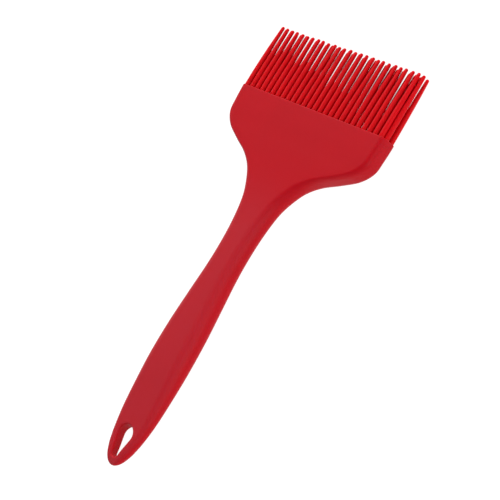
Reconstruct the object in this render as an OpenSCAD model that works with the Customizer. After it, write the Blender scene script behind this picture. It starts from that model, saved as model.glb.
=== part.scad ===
// Wide silicone pastry brush, lying on its back with its bristles along +Y.
// The origin is under the middle of the brush, at the surface it rests on.

/* [Head] */
// Width of the head at its mouth
head_w = 114.2; // [110:0.2:120]
// Thickness of the head at its mouth
head_t = 12.6; // [12.6:0.1:14]
// Thickness of the silicone rim round the mouth
rim_t = 0.85; // [0.8:0.05:0.9]
// Depth of the pocket that holds the bristle block
pocket_d = 8.5; // [8:0.5:9.5]

/* [Handle] */
// Length from the end of the handle to the mouth of the head
body_l = 223; // [215:1:235]
// Width of the grip at its widest place
grip_w = 28.4; // [27:0.2:31]
// Thickness of the grip at its thickest place
grip_t = 13.2; // [12.6:0.1:14]
// Width of the neck between the grip and the head
neck_w = 20.9; // [20:0.1:22.5]
// Thickness of the handle at its hanging hole
tail_t = 7.2; // [6.8:0.1:8]

/* [Hanging hole] */
// Radius of the wide end of the hole
hole_r = 5.5; // [4.5:0.1:5.6]
// Distance from the end of the handle to the centre of the wide end
hole_y = 18.4; // [17:0.1:20]
// Radius of the narrow end of the hole
hole_end_r = 2.6; // [2:0.1:3]
// Distance from the end of the handle to the centre of the narrow end
hole_end_y = 7.3; // [7:0.1:9]

/* [Core] */
// Thickness of the stiff core inside the silicone
core_t = 6; // [4:0.5:6.5]
// Width of the core along the handle
core_w = 12; // [9:0.5:13]
// Width of the paddle that stiffens the head
paddle_w = 92; // [80:1:94]
// Diameter of the holes that key the silicone through the core
key_d = 5; // [4:0.5:6]

/* [Bristles] */
// Length of a bristle in front of the mouth
bristle_l = 40.5; // [32:0.5:46]
// Diameter of the ball at the root of a bristle
root_d = 2.7; // [2.5:0.05:2.7]
// Diameter of a bristle just in front of its root
belly_d = 2.95; // [2.75:0.05:2.95]
// Diameter of a bristle at its tip
tip_d = 1.9; // [1.5:0.05:2.1]
// Bristles in each of the four rows
row_count = 26; // [20:1:26]

/* [Hidden] */

silicone = [0.76, 0.11, 0.15];
deep_silicone = [0.62, 0.05, 0.09];
nylon = [0.16, 0.16, 0.17];

$fn = 48;
brush_l = body_l + bristle_l;
end_y = -brush_l / 2;
mouth_y = body_l;
head_mid_z = head_t / 2;
pocket_w = head_w - 2 * rim_t;
pocket_t = head_t - 2 * rim_t;
pocket_r = 1.75;
bend = 30;
socket_clearance = 0.05;
socket_flare_r = root_d / 2 / cos(bend) + 0.04;
socket_flare_d = 0.4;
end_bristle_x = pocket_w / 2 - socket_flare_r - 0.05;
pitch = 2 * end_bristle_x / (row_count - 0.5);
row_gap = 0.225 * pocket_t;
tongue_l = 4;
corner_steps = 6;
nose_l = 12;
nose_rings = 8;

// Half width of the body against distance from the end of the handle
width_stations = [
    [0, 0.268 * grip_w], [8, 0.3 * grip_w], [18, 0.391 * grip_w],
    [30, 0.456 * grip_w], [46, 0.488 * grip_w], [64, 0.5 * grip_w],
    [84, 0.478 * grip_w], [104, 0.422 * grip_w], [122, 0.505 * neck_w],
    [body_l - 85, 0.5 * neck_w], [body_l - 71, 0.553 * neck_w], [body_l - 59, 0.66 * neck_w],
    [body_l - 50, 0.155 * head_w], [body_l - 42, 0.202 * head_w], [body_l - 36, 0.265 * head_w],
    [body_l - 31, 0.348 * head_w], [body_l - 25, 0.436 * head_w], [body_l - 18, 0.486 * head_w],
    [body_l - 10, 0.496 * head_w], [body_l, 0.5 * head_w]
];

// Height of the middle, half thickness, and corner radius as a share of it
depth_stations = [
    [0, 5.3, 0.45 * tail_t, 1], [20, 5.35, 0.5 * tail_t, 1], [46, 5.95, 0.4 * grip_t, 1],
    [64, 0.485 * grip_t, 0.48 * grip_t, 1], [90, 0.505 * grip_t, 0.5 * grip_t, 1],
    [116, 6.8, 0.492 * grip_t, 1], [149, 6.75, 6, 1],
    [body_l - 46, 6.9, 5.75, 0.9], [body_l - 36, 6.7, 5.9, 0.75],
    [body_l - 25, head_mid_z, head_mid_z, 0.62], [body_l - 10, head_mid_z, head_mid_z, 0.56],
    [body_l, head_mid_z, head_mid_z, 0.54]
];

function span(table, y, i = 0) =
    i >= len(table) - 2 || y < table[i + 1][0] ? i : span(table, y, i + 1);

function slope(table, i, c) =
    let(lo = max(i - 1, 0), hi = min(i + 1, len(table) - 1))
    (table[hi][c] - table[lo][c]) / (table[hi][0] - table[lo][0]);

// Smooth curve through column c of a station table
function smooth(table, y, c) =
    let(i = span(table, y), h = table[i + 1][0] - table[i][0], s = (y - table[i][0]) / h)
    (2 * s ^ 3 - 3 * s ^ 2 + 1) * table[i][c] + (s ^ 3 - 2 * s ^ 2 + s) * h * slope(table, i, c)
    + (3 * s ^ 2 - 2 * s ^ 3) * table[i + 1][c] + (s ^ 3 - s ^ 2) * h * slope(table, i + 1, c);

// The handle ends in an elliptical nose
function nose(y) = y < nose_l ? sqrt(1 - ((nose_l - y) / nose_l) ^ 2) : 1;

// One rounded cross-section of the body, as a ring of points
function ring(y) =
    let(
        a = smooth(width_stations, y, 1) * nose(y),
        mid = smooth(depth_stations, y, 1),
        b = min(mid, smooth(depth_stations, y, 2)) * nose(y),
        r = min(a, b * min(1, smooth(depth_stations, y, 3)))
    )
    [for (q = [0:3], k = [0:corner_steps])
        let(t = 90 * (q + k / corner_steps), sx = q == 0 || q == 3 ? 1 : -1, sz = q < 2 ? 1 : -1)
        [sx * (a - r) + r * cos(t), y, mid + sz * (b - r) + r * sin(t)]];

ring_y = concat(
    [for (k = [1:nose_rings]) nose_l * (1 - cos(90 * k / nose_rings))],
    [for (y = [20:8:148]) y],
    [for (y = [154:3:178]) y],
    [for (y = [180:1.5:body_l - 16]) y],
    [body_l - 13, body_l - 10, body_l - 5, body_l]
);

// A solid skinned over the rings, from a point at the end of the handle
module loft() {
    n = 4 * (corner_steps + 1);
    m = len(ring_y);
    tail_z = smooth(depth_stations, 0, 1);
    points = concat([[0, 0, tail_z]], [for (y = ring_y) each ring(y)]);
    tail = [for (k = [0:n - 1]) [0, 1 + k, 1 + (k + 1) % n]];
    sides = [for (i = [0:m - 2], k = [0:n - 1])
        let(p = 1 + i * n, k2 = (k + 1) % n)
        each [[p + k, p + n + k, p + n + k2], [p + k, p + n + k2, p + k2]]];
    mouth = [[for (k = [n - 1:-1:0]) 1 + (m - 1) * n + k]];
    polyhedron(points, concat(tail, sides, mouth), convexity = 6);
}

// Slab in the X-Z plane with rounded corners, running l towards +Y
module rounded_bar(w, t, r, l) {
    rotate([-90, 0, 0]) {
        translate([-w / 2 + r, -t / 2, 0]) cube([w - 2 * r, t, l]);
        translate([-w / 2, -t / 2 + r, 0]) cube([w, t - 2 * r, l]);
        for (x = [-1, 1], z = [-1, 1])
            translate([x * (w / 2 - r), z * (t / 2 - r), 0]) cylinder(r = r, h = l);
    }
}

module pocket_fill() {
    translate([0, mouth_y - pocket_d, head_mid_z]) rounded_bar(pocket_w, pocket_t, pocket_r, pocket_d);
}

// Egg-shaped hole: two circles and the straight sides that touch them both
module hanging_hole() {
    tilt = asin((hole_r - hole_end_r) / (hole_y - hole_end_y));
    side = [cos(tilt), -sin(tilt)];
    wide = [0, hole_y] + hole_r * side;
    narrow = [0, hole_end_y] + hole_end_r * side;
    translate([0, 0, -1]) linear_extrude(head_t + 2) {
        translate([0, hole_y]) circle(hole_r);
        translate([0, hole_end_y]) circle(hole_end_r);
        polygon([wide, narrow, [-narrow[0], narrow[1]], [-wide[0], wide[1]]]);
    }
}

// Flat outline of the core: a round-ended bar that widens into a paddle
module core_outline() {
    bar_end = hole_y + hole_r + 17;
    paddle_y = body_l - pocket_d - 6;
    translate([0, bar_end]) circle(d = core_w);
    translate([-core_w / 2, bar_end]) square([core_w, paddle_y - 30 - bar_end]);
    polygon([
        [-core_w / 2, paddle_y - 48], [core_w / 2, paddle_y - 48],
        [0.2 * paddle_w, paddle_y - 24], [0.36 * paddle_w, paddle_y - 13],
        [paddle_w / 2, paddle_y - 2], [paddle_w / 2, paddle_y + 3],
        [-paddle_w / 2, paddle_y + 3], [-paddle_w / 2, paddle_y - 2],
        [-0.36 * paddle_w, paddle_y - 13], [-0.2 * paddle_w, paddle_y - 24]
    ]);
    translate([-0.4 * paddle_w, paddle_y]) square([0.8 * paddle_w, 6 + tongue_l]);
}

module core_keys() {
    for (y = [48:24:144]) translate([0, y]) circle(d = key_d);
    for (x = [-30:15:30]) translate([x, body_l - pocket_d - 9]) circle(d = key_d);
}

module core_solid() {
    translate([0, 0, head_mid_z - core_t / 2])
        linear_extrude(core_t)
            difference() {
                core_outline();
                core_keys();
            }
}

// Places a child at every root of a row, pointing along +Y; row 0 is at the front of the head.
// Every other row is shifted by half a pitch, so the bristles stand in each other's gaps.
module along_row(row) {
    z = head_mid_z + (1.5 - row) * row_gap;
    shift = (row % 2 == 0 ? -1 : 1) * pitch / 4;
    for (i = [0:row_count - 1])
        translate([(i - (row_count - 1) / 2) * pitch + shift, mouth_y, z]) rotate([-90, 0, 0]) children();
}

// A ball root and a straight neck, then a taper that grows steeper in its front half
module bristle() {
    neck_l = 0.9;
    belly_y = 2.4;
    half_y = bristle_l / 2;
    half_d = belly_d - 0.35 * (belly_d - tip_d);
    tip_y = bristle_l - tip_d / 2;
    sphere(d = root_d);
    cylinder(d = root_d, h = neck_l);
    translate([0, 0, neck_l]) cylinder(d1 = root_d, d2 = belly_d, h = belly_y - neck_l);
    translate([0, 0, belly_y]) cylinder(d1 = belly_d, d2 = half_d, h = half_y - belly_y);
    translate([0, 0, half_y]) cylinder(d1 = half_d, d2 = tip_d, h = tip_y - half_y);
    translate([0, 0, tip_y]) sphere(d = tip_d);
}

module socket() {
    sphere(r = root_d / 2 + socket_clearance);
    translate([0, 0, -socket_flare_d]) cylinder(r = socket_flare_r, h = 2 * socket_flare_d);
}

module handle_skin() {
    color(silicone) translate([0, end_y, 0])
        difference() {
            loft();
            pocket_fill();
            core_solid();
            hanging_hole();
        }
}

module handle_core() {
    color(nylon) translate([0, end_y, 0]) core_solid();
}

module bristle_block() {
    color(deep_silicone) translate([0, end_y, 0])
        difference() {
            pocket_fill();
            core_solid();
            for (row = [0:3]) along_row(row) socket();
        }
}

module front_bristle_row() {
    color(silicone) translate([0, end_y, 0]) along_row(0) bristle();
}

module second_bristle_row() {
    color(silicone) translate([0, end_y, 0]) along_row(1) bristle();
}

module third_bristle_row() {
    color(silicone) translate([0, end_y, 0]) along_row(2) bristle();
}

module rear_bristle_row() {
    color(silicone) translate([0, end_y, 0]) along_row(3) bristle();
}

handle_skin();
handle_core();
bristle_block();
front_bristle_row();
second_bristle_row();
third_bristle_row();
rear_bristle_row();
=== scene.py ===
"""Silicone pastry brush: the look of the part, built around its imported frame."""

import math
import random

import bmesh
import bpy
import numpy as np
from mathutils import Matrix, Vector


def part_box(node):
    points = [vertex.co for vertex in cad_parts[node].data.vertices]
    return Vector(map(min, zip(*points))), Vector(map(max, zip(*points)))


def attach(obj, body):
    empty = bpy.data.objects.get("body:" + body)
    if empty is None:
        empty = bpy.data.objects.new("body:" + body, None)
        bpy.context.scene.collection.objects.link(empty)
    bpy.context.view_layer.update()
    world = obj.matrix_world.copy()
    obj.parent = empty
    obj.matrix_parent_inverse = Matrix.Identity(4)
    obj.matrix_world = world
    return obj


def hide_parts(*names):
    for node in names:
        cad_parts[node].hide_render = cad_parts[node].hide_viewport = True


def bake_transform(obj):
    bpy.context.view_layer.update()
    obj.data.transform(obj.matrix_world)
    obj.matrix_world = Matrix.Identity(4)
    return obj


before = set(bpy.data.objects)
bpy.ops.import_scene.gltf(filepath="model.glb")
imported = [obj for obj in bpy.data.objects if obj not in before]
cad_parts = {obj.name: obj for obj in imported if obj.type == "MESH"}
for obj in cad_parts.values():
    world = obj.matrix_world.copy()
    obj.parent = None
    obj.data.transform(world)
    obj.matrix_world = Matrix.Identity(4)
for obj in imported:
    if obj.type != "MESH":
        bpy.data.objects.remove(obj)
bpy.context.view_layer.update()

# ---------------------------------------------------------------- sizes, in millimetres
MM = 0.001
skin_low, skin_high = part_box("handle_skin")
block_low, block_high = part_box("bristle_block")
row_low, row_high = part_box("front_bristle_row")

# Read from the frame; y runs from the end of the handle, which lies at END_Y in the frame
BODY_L = (skin_high.y - skin_low.y) / MM
END_Y = skin_low.y / MM
POCKET_W = (block_high.x - block_low.x) / MM
POCKET_T = (block_high.z - block_low.z) / MM
MID_Z = (block_high.z + block_low.z) / 2 / MM
RIM = block_low.z / MM
HEAD_W = POCKET_W + 2 * RIM
BRISTLE_L = (row_high.y / MM - END_Y) - BODY_L

# Handle: the grip, the neck, the flat end, and the length of the end's rounding
GRIP_W, GRIP_T, NECK_W, TAIL_T = 28.4, 13.2, 20.9, 7.2
NOSE_L = 12.0

# Hanging hole: its wide end, its narrow end, and the rounding of its edge
HOLE_R, HOLE_Y = 5.5, 18.4
HOLE_END_R, HOLE_END_Y = 2.6, 7.3
HOLE_EDGE = 1.0

# Head: the rounding of its lip, the pocket's corners, and the block inside the pocket
LIP_R = 0.38
POCKET_R = 1.75
FACE_INSET = 0.25
BLOCK_DEPTH = 7.75
ROOT_FILLET = 0.35

# Bristles: the widest radius in the CAD, then the drawn radii at the root and the tip
CAD_BRISTLE_R = 1.475
ROOT_R, TIP_R = 1.6, 1.0
ROWS = ("front", "second", "third", "rear")
MIDDLE_ROW = (len(ROWS) - 1) / 2
ROW_COUNT = 26
PITCH = ((row_high.x - row_low.x) / MM - 2 * CAD_BRISTLE_R) / (ROW_COUNT - 1)
ROW_GAP = ((row_low.z + row_high.z) / 2 / MM - MID_Z) / MIDDLE_ROW

# Half width of the body against distance from the end of the handle
WIDTHS = [
    (0, 0.268 * GRIP_W), (8, 0.3 * GRIP_W), (18, 0.391 * GRIP_W),
    (30, 0.456 * GRIP_W), (46, 0.488 * GRIP_W), (64, 0.5 * GRIP_W),
    (84, 0.478 * GRIP_W), (104, 0.422 * GRIP_W), (122, 0.505 * NECK_W),
    (BODY_L - 85, 0.5 * NECK_W), (BODY_L - 71, 0.553 * NECK_W), (BODY_L - 59, 0.66 * NECK_W),
    (BODY_L - 50, 0.155 * HEAD_W), (BODY_L - 42, 0.202 * HEAD_W), (BODY_L - 36, 0.265 * HEAD_W),
    (BODY_L - 31, 0.348 * HEAD_W), (BODY_L - 25, 0.436 * HEAD_W), (BODY_L - 18, 0.486 * HEAD_W),
    (BODY_L - 10, 0.496 * HEAD_W), (BODY_L, 0.5 * HEAD_W),
]

# Height of the middle, half thickness, and edge radius as a share of the half thickness
DEPTHS = [
    (0, 5.3, 0.45 * TAIL_T, 1), (20, 5.35, 0.5 * TAIL_T, 1), (46, 5.95, 0.4 * GRIP_T, 1),
    (64, 0.485 * GRIP_T, 0.48 * GRIP_T, 1), (90, 0.505 * GRIP_T, 0.5 * GRIP_T, 1),
    (116, 6.8, 0.492 * GRIP_T, 1), (149, 6.75, 6, 1),
    (BODY_L - 46, 6.9, 5.75, 0.9), (BODY_L - 36, 6.7, 5.9, 0.75),
    (BODY_L - 25, MID_Z, MID_Z, 0.62), (BODY_L - 10, MID_Z, MID_Z, 0.56),
    (BODY_L, MID_Z, MID_Z, 0.54),
]


def smooth(table, y, column):
    """Smooth curve through a column of a station table."""
    last = len(table) - 1
    i = 0
    while i < last - 1 and y >= table[i + 1][0]:
        i += 1

    def slope(k):
        low, high = max(k - 1, 0), min(k + 1, last)
        return (table[high][column] - table[low][column]) / (table[high][0] - table[low][0])

    span = table[i + 1][0] - table[i][0]
    s = (y - table[i][0]) / span
    return ((2 * s**3 - 3 * s**2 + 1) * table[i][column] + (s**3 - 2 * s**2 + s) * span * slope(i)
            + (3 * s**2 - 2 * s**3) * table[i + 1][column] + (s**3 - s**2) * span * slope(i + 1))


def nose(y):
    """Share of the full section in the rounded end of the handle."""
    return math.sqrt(max(0.0, 1 - ((NOSE_L - y) / NOSE_L) ** 2)) if y < NOSE_L else 1.0


def section(y):
    """Half width, middle height, half thickness and edge radius at y."""
    half_w = smooth(WIDTHS, y, 1) * nose(y)
    mid = smooth(DEPTHS, y, 1)
    half_t = min(mid, smooth(DEPTHS, y, 2)) * nose(y)
    return half_w, mid, half_t, min(half_w, half_t * min(1.0, smooth(DEPTHS, y, 3)))


def half_thickness(x, y):
    """Half thickness of the body at a place in plan."""
    half_w, _, half_t, r = section(y)
    inside = abs(x) - (half_w - r)
    if inside <= 0:
        return half_t
    return half_t - r + math.sqrt(max(0.0, r * r - inside * inside))


# ---------------------------------------------------------------- mesh helpers
MERGE_DISTANCE = 1e-7


class Builder:
    """Takes points in millimetres and faces between them, then makes one mesh object in metres."""

    def __init__(self):
        self.points = []
        self.faces = []

    def point(self, x, y, z):
        """Adds a point, with y from the end of the handle, and returns its number."""
        self.points.append((x * MM, (y + END_Y) * MM, z * MM))
        return len(self.points) - 1

    def strip(self, a, b, closed=False):
        """Quads between two rows of points."""
        count = len(a) if closed else len(a) - 1
        for k in range(count):
            n = (k + 1) % len(a)
            self.faces.append((a[k], a[n], b[n], b[k]))

    def make(self, name, material):
        """The mesh object, smooth shaded, with its faces turned outwards."""
        mesh = bpy.data.meshes.new(name)
        mesh.from_pydata(self.points, [], self.faces)
        bm = bmesh.new()
        bm.from_mesh(mesh)
        bmesh.ops.remove_doubles(bm, verts=bm.verts, dist=MERGE_DISTANCE)
        bmesh.ops.recalc_face_normals(bm, faces=bm.faces)
        bm.to_mesh(mesh)
        bm.free()
        mesh.shade_smooth()
        mesh.materials.append(material)
        piece = bpy.data.objects.new(name, mesh)
        bpy.context.scene.collection.objects.link(piece)
        return piece


# ---------------------------------------------------------------- materials
def node_material(name):
    """A new material, with its nodes, its links and its shader."""
    material = bpy.data.materials.new(name)
    material.use_nodes = True
    nodes, links = material.node_tree.nodes, material.node_tree.links
    return material, nodes, links, nodes["Principled BSDF"]


def smooth_share(nodes, links, value, low, high):
    """0 where the value is at low, 1 where it is at high, with a smooth turn between them."""
    share = nodes.new("ShaderNodeMapRange")
    share.interpolation_type = "SMOOTHSTEP"
    share.inputs["From Min"].default_value = low
    share.inputs["From Max"].default_value = high
    links.new(value, share.inputs["Value"])
    return share.outputs["Result"]


# Where the painted sheen is absent and where it is full: along Y in metres, and by how squarely
# the surface faces up or down
SHEEN_Y = (0.055, 0.01)
SHEEN_FACING = (0.35, 0.88)


def painted_sheen_color(nodes, links, place, plain_color, sheen_tint):
    """Painted sheen: the silicone's own colour, turning to a paler, duller red on the flats of the
    handle, which stands in for light reflected there.
    """
    split = nodes.new("ShaderNodeSeparateXYZ")
    links.new(place.outputs["Object"], split.inputs["Vector"])
    facing = nodes.new("ShaderNodeSeparateXYZ")
    links.new(place.outputs["Normal"], facing.inputs["Vector"])
    flat = nodes.new("ShaderNodeMath")
    flat.operation = "ABSOLUTE"
    links.new(facing.outputs["Z"], flat.inputs[0])

    share = nodes.new("ShaderNodeMath")
    share.operation = "MULTIPLY"
    along = smooth_share(nodes, links, split.outputs["Y"], *SHEEN_Y)
    links.new(along, share.inputs[0])
    flatness = smooth_share(nodes, links, flat.outputs["Value"], *SHEEN_FACING)
    links.new(flatness, share.inputs[1])

    sheen_mix = nodes.new("ShaderNodeMix")
    sheen_mix.data_type = "RGBA"
    sheen_mix.inputs["B"].default_value = (*sheen_tint, 1)
    links.new(share.outputs["Value"], sheen_mix.inputs["Factor"])
    links.new(plain_color, sheen_mix.inputs["A"])
    return sheen_mix.outputs["Result"]


def silicone(name, color, roughness, grain=0.04, sheen_tint=None):
    """Moulded silicone: a fine grain, a clouded gloss, and light held just under the skin.

    The grain is in millimetres. The second colour, if given, is a painted sheen for the flats of the
    handle.
    """
    material, nodes, links, shader = node_material(name)
    place = nodes.new("ShaderNodeTexCoord")

    cloud = nodes.new("ShaderNodeTexNoise")
    cloud.inputs["Scale"].default_value = 28
    cloud.inputs["Detail"].default_value = 4
    links.new(place.outputs["Object"], cloud.inputs["Vector"])

    tint = nodes.new("ShaderNodeMix")
    tint.data_type = "RGBA"
    tint.inputs["A"].default_value = (*[c * 0.93 for c in color], 1)
    tint.inputs["B"].default_value = (*[min(1, c * 1.06) for c in color], 1)
    links.new(cloud.outputs["Fac"], tint.inputs["Factor"])
    base = tint.outputs["Result"]
    # painted sheen: the flats of the handle turn a paler red, which stands in for reflected light
    if sheen_tint:
        base = painted_sheen_color(nodes, links, place, base, sheen_tint)
    links.new(base, shader.inputs["Base Color"])

    gloss = nodes.new("ShaderNodeMapRange")
    gloss.inputs["To Min"].default_value = roughness - 0.05
    gloss.inputs["To Max"].default_value = roughness + 0.05
    links.new(cloud.outputs["Fac"], gloss.inputs["Value"])
    links.new(gloss.outputs["Result"], shader.inputs["Roughness"])

    fine = nodes.new("ShaderNodeTexNoise")
    fine.inputs["Scale"].default_value = 2600
    fine.inputs["Detail"].default_value = 3
    links.new(place.outputs["Object"], fine.inputs["Vector"])
    bump = nodes.new("ShaderNodeBump")
    bump.inputs["Strength"].default_value = 0.25
    bump.inputs["Distance"].default_value = grain * MM
    links.new(fine.outputs["Fac"], bump.inputs["Height"])
    links.new(bump.outputs["Normal"], shader.inputs["Normal"])

    shader.inputs["Specular IOR Level"].default_value = 0.1
    shader.inputs["Subsurface Weight"].default_value = 0.3
    shader.inputs["Subsurface Radius"].default_value = (1.0, 0.15, 0.1)
    shader.inputs["Subsurface Scale"].default_value = 2.5 * MM
    return material


def nylon(name):
    """Glass-filled nylon of the hidden core."""
    material, nodes, links, shader = node_material(name)
    place = nodes.new("ShaderNodeTexCoord")
    fibres = nodes.new("ShaderNodeTexNoise")
    fibres.inputs["Scale"].default_value = 900
    links.new(place.outputs["Object"], fibres.inputs["Vector"])
    ramp = nodes.new("ShaderNodeValToRGB")
    ramp.color_ramp.elements[0].color = (0.012, 0.012, 0.013, 1)
    ramp.color_ramp.elements[1].color = (0.04, 0.04, 0.042, 1)
    links.new(fibres.outputs["Fac"], ramp.inputs["Fac"])
    links.new(ramp.outputs["Color"], shader.inputs["Base Color"])
    shader.inputs["Roughness"].default_value = 0.55
    return material


# the skin's second colour is a painted sheen on the flats of the handle, standing in for reflected
# light
skin_material = silicone("red_silicone_skin", (0.41, 0.0012, 0.007), 0.5, sheen_tint=(0.405, 0.0115, 0.02))
bristle_material = silicone("red_silicone_bristles", (0.55, 0.0005, 0.004), 0.42, grain=0.02)
bed_material = silicone("red_silicone_block", (0.42, 0.002, 0.008), 0.5)


# ---------------------------------------------------------------- body skin
# Steps over a rounded edge of the body, and across its flat
ARC = 14
FLAT = 16
# Steps over the small roundings of the lip and of the hole's edge
EDGE_STEPS = 5
# The patch round the hole: where it meets the rings, and its steps along the straight side of
# the handle, round the end, out from the hole's edge, and down the hole's wall
TAIL_JOIN = 34.0
SIDE_STEPS, NOSE_STEPS, SPREAD_STEPS, WALL_STEPS = 26, 22, 18, 6
# Rings along the body: their spacing on the handle and near the mouth, how far off the mouth
# the closer spacing starts, and how near the lip it stops
HANDLE_STEP, HEAD_STEP = 1.5, 0.75
HEAD_START, HEAD_STOP = 90, 0.6
# The pocket's wall: a ring this far in, and how far its floor lies behind the block
POCKET_RING = 2.5
POCKET_SPARE = 0.3
# The sharpest that an edge may get where a ring is set in
SHARPEST_R = 0.05


def half_ring(y, side, inset=0.0):
    """Points over the top (side 1) or bottom (side -1) of the section at y, from +X to -X."""
    half_w, mid, half_t, r = section(min(y, BODY_L))
    half_w -= inset
    half_t -= inset
    r = max(r - inset, SHARPEST_R)
    corner = [(half_w - r + r * math.cos(t), half_t - r + r * math.sin(t))
              for t in [math.pi / 2 * k / ARC for k in range(ARC + 1)]]
    across = [((half_w - r) * (1 - 2 * k / FLAT), half_t) for k in range(1, FLAT)]
    over = corner + across + [(-x, h) for x, h in reversed(corner)]
    return [(x, mid + side * h) for x, h in over]


def add_ring(builder, y, inset=0.0):
    """The numbers of the points over the top and under the bottom of the section at y."""
    top = [builder.point(x, y, z) for x, z in half_ring(y, 1, inset)]
    bottom = [builder.point(x, y, z) for x, z in half_ring(y, -1, inset)]
    return top, bottom


def closed_ring(ring):
    """One loop of points, over the top and then back under the bottom."""
    top, bottom = ring
    return top + bottom[::-1]


# The point that the patch spreads out from, and the slant of the hole's straight walls
HOLE_POLE_Y = (HOLE_Y + HOLE_END_Y) / 2
HOLE_TILT = math.asin((HOLE_R - HOLE_END_R) / (HOLE_Y - HOLE_END_Y))
# How many times the search for the hole's wall halves its range
HALVINGS = 40


def hole_distance(x, y):
    """Distance from the hole's wall in plan, negative inside the hole."""
    up = HOLE_Y - y
    span = HOLE_Y - HOLE_END_Y
    across = math.cos(HOLE_TILT)
    along = up * across - abs(x) * math.sin(HOLE_TILT)
    if along < 0:
        return math.hypot(x, up) - HOLE_R
    if along > across * span:
        return math.hypot(x, y - HOLE_END_Y) - HOLE_END_R
    return abs(x) * across + up * math.sin(HOLE_TILT) - HOLE_R


def hole_reach(angle):
    """How far the hole's wall is from its pole, in the direction given from +X."""
    low, high = 0.0, 2 * HOLE_R + HOLE_Y
    for _ in range(HALVINGS):
        reach = (low + high) / 2
        if hole_distance(reach * math.cos(angle), HOLE_POLE_Y + reach * math.sin(angle)) < 0:
            low = reach
        else:
            high = reach
    return low


def tail_patch(builder, join):
    """The handle's end around its hanging hole, from the hole's wall out to the join ring."""
    down = [TAIL_JOIN - (TAIL_JOIN - NOSE_L) * k / SIDE_STEPS for k in range(1, SIDE_STEPS + 1)]
    down += [NOSE_L * (1 - math.sin(math.pi / 2 * k / NOSE_STEPS)) for k in range(1, NOSE_STEPS + 1)]
    right = [(section(y)[0], y) for y in down]
    left = [(-x, y) for x, y in reversed(right[:-1])]
    fillet = [math.pi / 2 * k / EDGE_STEPS for k in range(EDGE_STEPS + 1)]
    spread = [math.sin(math.pi / 2 * k / SPREAD_STEPS) for k in range(1, SPREAD_STEPS)]

    equator = [builder.point(x, y, section(y)[1]) for x, y in right + left]
    wall_rows = {}
    for side, half in ((1, join[0]), (-1, join[1])):
        # the outer loop runs down the right, up the left, then back along the join
        coords = right + left + [(x, TAIL_JOIN) for x, _ in half_ring(TAIL_JOIN, side)[::-1]]
        outer = equator + half[::-1]
        columns = []
        for (x, y), last in zip(coords, outer):
            angle = math.atan2(y - HOLE_POLE_Y, x)
            start = hole_reach(angle)
            full = math.hypot(x, y - HOLE_POLE_Y)
            reaches = [start + HOLE_EDGE * (1 - math.cos(t)) for t in fillet]
            edge = reaches[-1]
            reaches += [edge + (full - edge) * s for s in spread]
            column = []
            for reach in reaches:
                px, py = reach * math.cos(angle), HOLE_POLE_Y + reach * math.sin(angle)
                near = min(HOLE_EDGE, max(0.0, HOLE_EDGE - hole_distance(px, py)))
                drop = HOLE_EDGE - math.sqrt(HOLE_EDGE**2 - near**2)
                z = section(py)[1] + side * (half_thickness(px, py) - drop)
                column.append(builder.point(px, py, z))
            column.append(last)
            columns.append(column)
        for k in range(len(columns)):
            a, b = columns[k], columns[(k + 1) % len(columns)]
            builder.strip(a, b)
        wall_rows[side] = [column[0] for column in columns]

    # the wall of the hole, between the two rounded edges
    top, bottom = wall_rows[1], wall_rows[-1]
    previous = top
    for k in range(1, WALL_STEPS):
        loop = []
        for upper, lower in zip(top, bottom):
            high, low = Vector(builder.points[upper]), Vector(builder.points[lower])
            between = high.lerp(low, k / WALL_STEPS) / MM
            loop.append(builder.point(between.x, between.y - END_Y, between.z))
        builder.strip(previous, loop, closed=True)
        previous = loop
    builder.strip(previous, bottom, closed=True)


def build_skin():
    """The whole skin: the end round the hole, rings along the body, then the lip and the pocket."""
    builder = Builder()
    first = add_ring(builder, TAIL_JOIN)
    tail_patch(builder, first)
    wide_steps = int((BODY_L - HEAD_START - TAIL_JOIN) / HANDLE_STEP)
    stops = [TAIL_JOIN + HANDLE_STEP * k for k in range(1, wide_steps + 1)]
    y = stops[-1]
    while y < BODY_L - LIP_R - HEAD_STOP:
        y += HEAD_STEP
        stops.append(min(y, BODY_L - LIP_R))
    previous = closed_ring(first)
    for y in stops:
        ring = closed_ring(add_ring(builder, y))
        builder.strip(previous, ring, closed=True)
        previous = ring
    # rounded lip, outside and then inside, and the wall of the pocket down to its floor
    lip_y = BODY_L - LIP_R
    turn = [math.pi / 2 * k / EDGE_STEPS for k in range(1, EDGE_STEPS + 1)]
    path = [(lip_y + LIP_R * math.sin(t), LIP_R * (1 - math.cos(t))) for t in turn]
    path += [(lip_y + LIP_R * math.cos(t), RIM - LIP_R + LIP_R * math.sin(t)) for t in [0.0] + turn]
    path += [(BODY_L - POCKET_RING, RIM), (BODY_L - BLOCK_DEPTH - POCKET_SPARE, RIM)]
    for y, inset in path:
        ring = closed_ring(add_ring(builder, y, inset))
        builder.strip(previous, ring, closed=True)
        previous = ring
    builder.faces.append(tuple(previous))
    return builder.make("silicone_skin", skin_material)


skin = build_skin()
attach(skin, "handle")
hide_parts("handle_skin")
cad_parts["handle_core"].data.materials.clear()
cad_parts["handle_core"].data.materials.append(nylon("black_nylon"))


# ---------------------------------------------------------------- bristle block
def root_places(row):
    """Where the bristles of a row stand; every other row stands in the gaps of the last."""
    shift = (-1 if row % 2 == 0 else 1) * PITCH / 4
    return [(i - (ROW_COUNT - 1) / 2) * PITCH + shift for i in range(ROW_COUNT)]


def row_height(row):
    """Height of a row's roots, with the front row on top."""
    return MID_Z + (MIDDLE_ROW - row) * ROW_GAP


# The drawn face: the spacing of its grid, its gap to the pocket, and the rounding of its edge
BED_STEP = 0.2
BED_GAP = 0.04
BED_EDGE = 0.25


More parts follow.
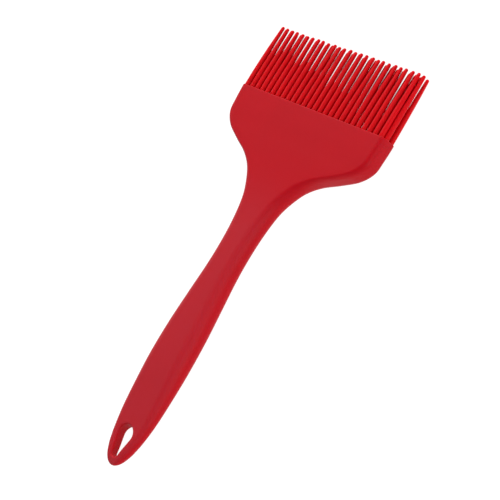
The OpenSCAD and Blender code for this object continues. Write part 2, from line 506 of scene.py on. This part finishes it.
def build_bed():
    """The block: a face that swells into a small fillet round each root, its sides and its back."""
    half_x, half_z = POCKET_W / 2 - BED_GAP, POCKET_T / 2 - BED_GAP
    across, over = int(2 * half_x / BED_STEP), int(2 * half_z / BED_STEP)
    x_lines = np.linspace(-half_x, half_x, across + 1)
    z_lines = np.linspace(-half_z, half_z, over + 1)
    grid_x, grid_z = np.meshgrid(x_lines, z_lines, indexing="ij")

    # round the corners of the sheet
    straight_x, straight_z = half_x - POCKET_R, half_z - POCKET_R
    past_x, past_z = np.abs(grid_x) - straight_x, np.abs(grid_z) - straight_z
    corner = (past_x > 0) & (past_z > 0)
    reach = np.maximum(np.hypot(past_x, past_z), 1e-9)
    scale = np.where(corner, np.maximum(past_x, past_z) / reach, 1.0)
    grid_x = np.where(corner, np.sign(grid_x) * (straight_x + past_x * scale), grid_x)
    grid_z = np.where(corner, np.sign(grid_z) * (straight_z + past_z * scale), grid_z)

    # rise round the roots, and fall at the edge
    nearest = np.full(grid_x.shape, 1e9)
    for row in range(len(ROWS)):
        for x in root_places(row):
            to_root = np.hypot(grid_x - x, MID_Z + grid_z - row_height(row))
            nearest = np.minimum(nearest, to_root)
    rise = np.clip(ROOT_R + ROOT_FILLET - nearest, 0, ROOT_FILLET)
    height = ROOT_FILLET - np.sqrt(ROOT_FILLET**2 - rise**2)
    edge = np.minimum(half_x - np.abs(grid_x), half_z - np.abs(grid_z))
    sink = np.clip(BED_EDGE - edge, 0, BED_EDGE)
    grid_y = BODY_L - FACE_INSET + height - (BED_EDGE - np.sqrt(BED_EDGE**2 - sink**2))

    builder = Builder()
    rows = [[builder.point(grid_x[i, j], grid_y[i, j], MID_Z + grid_z[i, j]) for j in range(over + 1)]
            for i in range(across + 1)]
    for a, b in zip(rows, rows[1:]):
        builder.strip(a, b)

    # the sides of the block, and its back
    edge_loop = (rows[0] + [r[-1] for r in rows[1:]] + rows[-1][-2::-1]
                 + [r[0] for r in reversed(rows[1:-1])])
    back = []
    for v in edge_loop:
        x, _, z = builder.points[v]
        back.append(builder.point(x / MM, BODY_L - BLOCK_DEPTH, z / MM))
    builder.strip(edge_loop, back, closed=True)
    builder.faces.append(tuple(back))
    return builder.make("bristle_bed", bed_material)


bed = build_bed()
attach(bed, "handle")
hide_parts("bristle_block")


# ---------------------------------------------------------------- bristles
# Sides of a bristle, rings along it, and rings over its rounded tip
SIDES = 20
RINGS = 26
TIP_RINGS = 6
# How deep it starts in the block's face, and how late it thins: 1 is an even taper
ROOT_DEPTH = 0.5
TAPER = 2.6
# How far tips lean, in millimetres: all to one side, and each row towards the middle of the rows,
# each with its spread from bristle to bristle
SIDE_LEAN, SIDE_SPREAD = 0.6, 0.25
ROW_LEAN, ROW_SPREAD = 0.5, 0.2
# How much shorter than the longest a bristle may be
LENGTH_SPREAD = 0.6
# Tips that cling together: how many, and how far they are drawn
CLUMP_SIZES = (1, 1, 2, 2, 3)
CLUMP_PULL = (0.1, 0.4)


def add_bristle(builder, x, z, length, lean_x, lean_z):
    """One tapered bristle that stands straight at its root and bends towards its tip."""
    start = BODY_L - FACE_INSET - ROOT_DEPTH
    tall = BODY_L + length - start
    shaft = tall - TIP_R
    stations = [(shaft * k / RINGS, ROOT_R + (TIP_R - ROOT_R) * (k / RINGS) ** TAPER)
                for k in range(RINGS + 1)]
    stations += [(shaft + TIP_R * math.sin(t), TIP_R * math.cos(t))
                 for t in [math.pi / 2 * k / TIP_RINGS for k in range(1, TIP_RINGS)]]

    def axis(s):
        u = s / tall
        bend = u * u * (3 - u) / 2
        return x + lean_x * bend, start + s, z + lean_z * bend

    previous = None
    for s, r in stations:
        cx, cy, cz = axis(s)
        ring = [builder.point(cx + r * math.cos(a), cy, cz + r * math.sin(a))
                for a in [2 * math.pi * k / SIDES for k in range(SIDES)]]
        if previous:
            builder.strip(previous, ring, closed=True)
        else:
            builder.faces.append(tuple(reversed(ring)))
        previous = ring
    tip = builder.point(*axis(tall))
    for k in range(SIDES):
        builder.faces.append((previous[k], previous[(k + 1) % SIDES], tip))


def clumps(draw):
    """How far each tip of a row is drawn sideways, as small groups of bristles cling together."""
    pull = []
    while len(pull) < ROW_COUNT:
        size = draw.choice(CLUMP_SIZES)
        strength = draw.uniform(*CLUMP_PULL) if size > 1 else 0.0
        pull += [strength * ((size - 1) / 2 - k) for k in range(size)]
    return pull[:ROW_COUNT]


def build_row(name, row, draw):
    """One row of bristles, whose tips lean, cling together and end a little unevenly."""
    builder = Builder()
    for x, pull in zip(root_places(row), clumps(draw)):
        lean_x = SIDE_LEAN + pull + draw.uniform(-SIDE_SPREAD, SIDE_SPREAD)
        lean_z = -(MIDDLE_ROW - row) * ROW_LEAN + draw.uniform(-ROW_SPREAD, ROW_SPREAD)
        length = BRISTLE_L - draw.uniform(0.0, LENGTH_SPREAD)
        add_bristle(builder, x, row_height(row), length, lean_x, lean_z)
    return builder.make(name, bristle_material)


FIRST_SEED = 11

# a row bends over its whole length, from the mouth of the head to its tips
for number, word in enumerate(ROWS):
    bristles = build_row(word + "_bristles", number, random.Random(FIRST_SEED + number))
    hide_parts(word + "_bristle_row")
    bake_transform(bristles)


# ---------------------------------------------------------------- studio
def matte(name, color, glow):
    """Matte paper that glows white by itself."""
    material, nodes, links, shader = node_material(name)
    place = nodes.new("ShaderNodeTexCoord")
    paper = nodes.new("ShaderNodeTexNoise")
    paper.inputs["Scale"].default_value = 400
    links.new(place.outputs["Object"], paper.inputs["Vector"])
    bump = nodes.new("ShaderNodeBump")
    bump.inputs["Strength"].default_value = 0.02
    links.new(paper.outputs["Fac"], bump.inputs["Height"])
    links.new(bump.outputs["Normal"], shader.inputs["Normal"])
    shader.inputs["Base Color"].default_value = (*color, 1)
    shader.inputs["Roughness"].default_value = 0.9
    shader.inputs["Specular IOR Level"].default_value = 0.1
    shader.inputs["Emission Color"].default_value = (1, 1, 1, 1)
    shader.inputs["Emission Strength"].default_value = glow
    return material


FLOOR = 3.0


def build_floor():
    """A square of white light table, which reaches FLOOR metres each way."""
    mesh = bpy.data.meshes.new("floor")
    corners = [(-FLOOR, -FLOOR, 0), (FLOOR, -FLOOR, 0), (FLOOR, FLOOR, 0), (-FLOOR, FLOOR, 0)]
    mesh.from_pydata(corners, [], [(0, 1, 2, 3)])
    mesh.materials.append(matte("light_table", (0.12, 0.12, 0.12), 0.97))
    floor = bpy.data.objects.new("floor", mesh)
    bpy.context.scene.collection.objects.link(floor)


def build_sky():
    """White walls all round, and a darker ceiling over the right of the brush."""
    world = bpy.data.worlds.new("studio")
    bpy.context.scene.world = world
    world.use_nodes = True
    nodes, links = world.node_tree.nodes, world.node_tree.links
    background = nodes["Background"]
    background.inputs["Color"].default_value = (1, 1, 1, 1)
    place = nodes.new("ShaderNodeTexCoord")
    toward = nodes.new("ShaderNodeVectorMath")
    toward.operation = "DOT_PRODUCT"
    toward.inputs[1].default_value = (0.5, -0.2, 0.85)
    links.new(place.outputs["Generated"], toward.inputs[0])
    strength = nodes.new("ShaderNodeMapRange")
    strength.interpolation_type = "SMOOTHSTEP"
    strength.inputs["From Min"].default_value = 0.3
    strength.inputs["From Max"].default_value = 0.95
    strength.inputs["To Min"].default_value = 1.0
    strength.inputs["To Max"].default_value = 0.22
    links.new(toward.outputs["Value"], strength.inputs["Value"])
    links.new(strength.outputs["Result"], background.inputs["Strength"])


def softbox(name, place, aim, size, power):
    """A rectangular light of that size in metres, turned towards its aim."""
    light = bpy.data.lights.new(name, "AREA")
    light.shape = "RECTANGLE"
    light.size, light.size_y = size
    light.energy = power
    lamp = bpy.data.objects.new(name, light)
    bpy.context.scene.collection.objects.link(lamp)
    lamp.location = place
    lamp.rotation_euler = (Vector(aim) - Vector(place)).to_track_quat("-Z", "Y").to_euler()


# The camera's place in metres, which way its right and its up point, and its angle of view
CAMERA_PLACE = (0.54772, -0.05074, 0.5941)
CAMERA_RIGHT = (0.66075, 0.50442, -0.55584)
CAMERA_UP = (-0.33080, 0.86043, 0.38760)
VIEW_ANGLE = 19.38


def build_camera():
    """The camera where the photo was taken from."""
    data = bpy.data.cameras.new("camera")
    data.sensor_width = 36
    data.angle = math.radians(VIEW_ANGLE)
    camera = bpy.data.objects.new("camera", data)
    right, up = Vector(CAMERA_RIGHT), Vector(CAMERA_UP)
    turn = Matrix((right, up, right.cross(up))).transposed().to_4x4()
    camera.matrix_world = Matrix.Translation(CAMERA_PLACE) @ turn
    bpy.context.scene.collection.objects.link(camera)
    bpy.context.scene.camera = camera


build_floor()
build_sky()
softbox("key_left", (-0.4, 0.95, 0.75), (0, 0.08, 0), (1.3, 1.3), 14.6)
softbox("rim_right", (1.1, -0.1, 0.17), (0, 0, 0), (0.4, 1.8), 12)
build_camera()
bpy.context.scene.view_settings.view_transform = "Standard"
